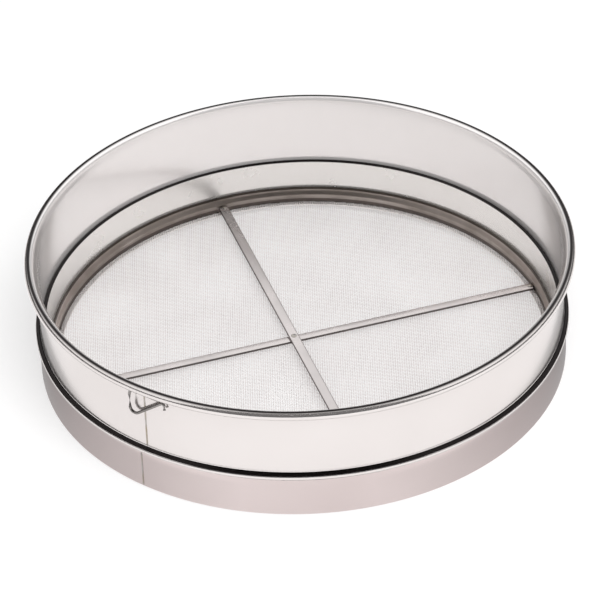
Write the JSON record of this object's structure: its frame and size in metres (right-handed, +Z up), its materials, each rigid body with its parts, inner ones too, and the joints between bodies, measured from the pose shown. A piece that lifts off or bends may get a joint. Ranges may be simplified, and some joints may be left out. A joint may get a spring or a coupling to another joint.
{
  "type": "drum sieve",
  "caption": "Round steel drum sieve with a wired rim, a stepped lower band, a clamped woven mesh under crossed bars, and a wire hanging loop.",
  "frame": {"origin": "centre of the foot, on the surface that the drum stands on", "axes": "+Z up along the drum's axis, the hanging loop on the -Y side, towards -X"},
  "size_m": [0.3, 0.3, 0.0704],
  "materials": {
    "polished_sheet": "polished stainless sheet",
    "drawn_wire": "drawn wire",
    "weld": "ground weld",
    "woven_mesh": "woven wire cloth",
    "dull_strip": "dull strip",
    "bar_strip": "drawn strip with round edges"
  },
  "bodies": {
    "drum": {"upper_hoop": "polished_sheet", "rim_wire": "drawn_wire", "upper_seam_weld": "weld", "base_hoop": "polished_sheet", "base_seam_weld": "weld", "sieve_hoop": "polished_sheet", "sieve_mesh": "woven_mesh", "clamp_ring": "dull_strip", "cross_bar_lower": "bar_strip", "cross_bar_upper": "bar_strip", "cross_weld": "weld", "bar_end_tacks": "weld"},
    "loop": {"hanging_loop": "drawn_wire"}
  },
  "joints": [
    {"name": "loop_swing", "type": "hinge", "parent": "drum", "child": "loop", "pos_m": [-0.07551, -0.12179, 0.0629], "axis": [-0.527, -0.8499, 0], "range_deg": [-1.5, 70]}
  ]
}
